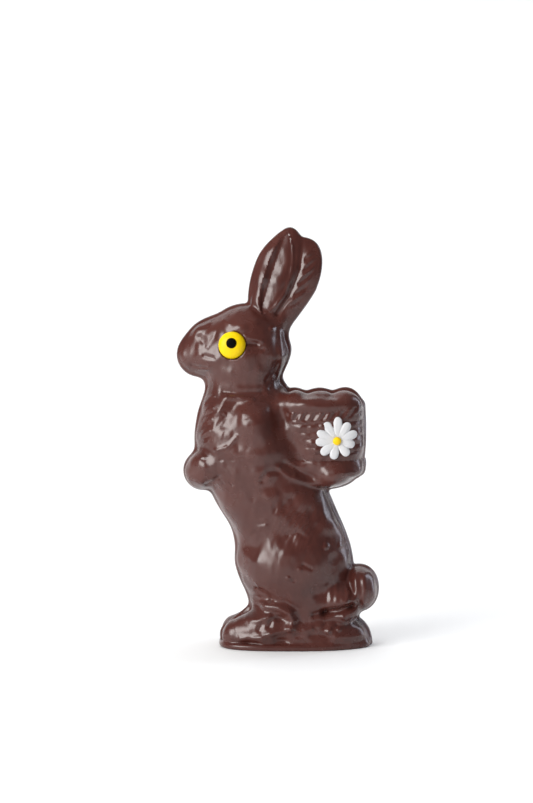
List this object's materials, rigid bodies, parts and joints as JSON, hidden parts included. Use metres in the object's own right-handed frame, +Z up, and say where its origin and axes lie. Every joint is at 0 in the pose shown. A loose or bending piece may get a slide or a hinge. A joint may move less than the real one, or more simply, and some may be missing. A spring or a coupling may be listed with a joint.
{
  "type": "chocolate bunny",
  "caption": "Moulded dark chocolate bunny standing upright with a woven basket of eggs on its back, domed sugar eyes and royal icing daisies.",
  "frame": {"origin": "middle of the base, on the surface that the bunny stands on, on the parting plane of its mould", "axes": "+Z up, the bunny looks along -X, +Y towards its right flank"},
  "size_m": [0.0807, 0.0404, 0.1689],
  "materials": {
    "chocolate": "glossy dark chocolate, slightly rippled",
    "yellow_sugar": "smooth satin-gloss boiled sugar",
    "black_sugar": "smooth gloss",
    "white_icing": "dry matt royal icing",
    "yellow_icing": "dry matt royal icing"
  },
  "bodies": {
    "root": {"bunny": "chocolate", "eye_left": "yellow_sugar", "eye_right": "yellow_sugar", "pupil_left": "black_sugar", "pupil_right": "black_sugar", "daisy_petals_left": "white_icing", "daisy_petals_right": "white_icing", "daisy_middle_left": "yellow_icing", "daisy_middle_right": "yellow_icing"}
  },
  "joints": []
}
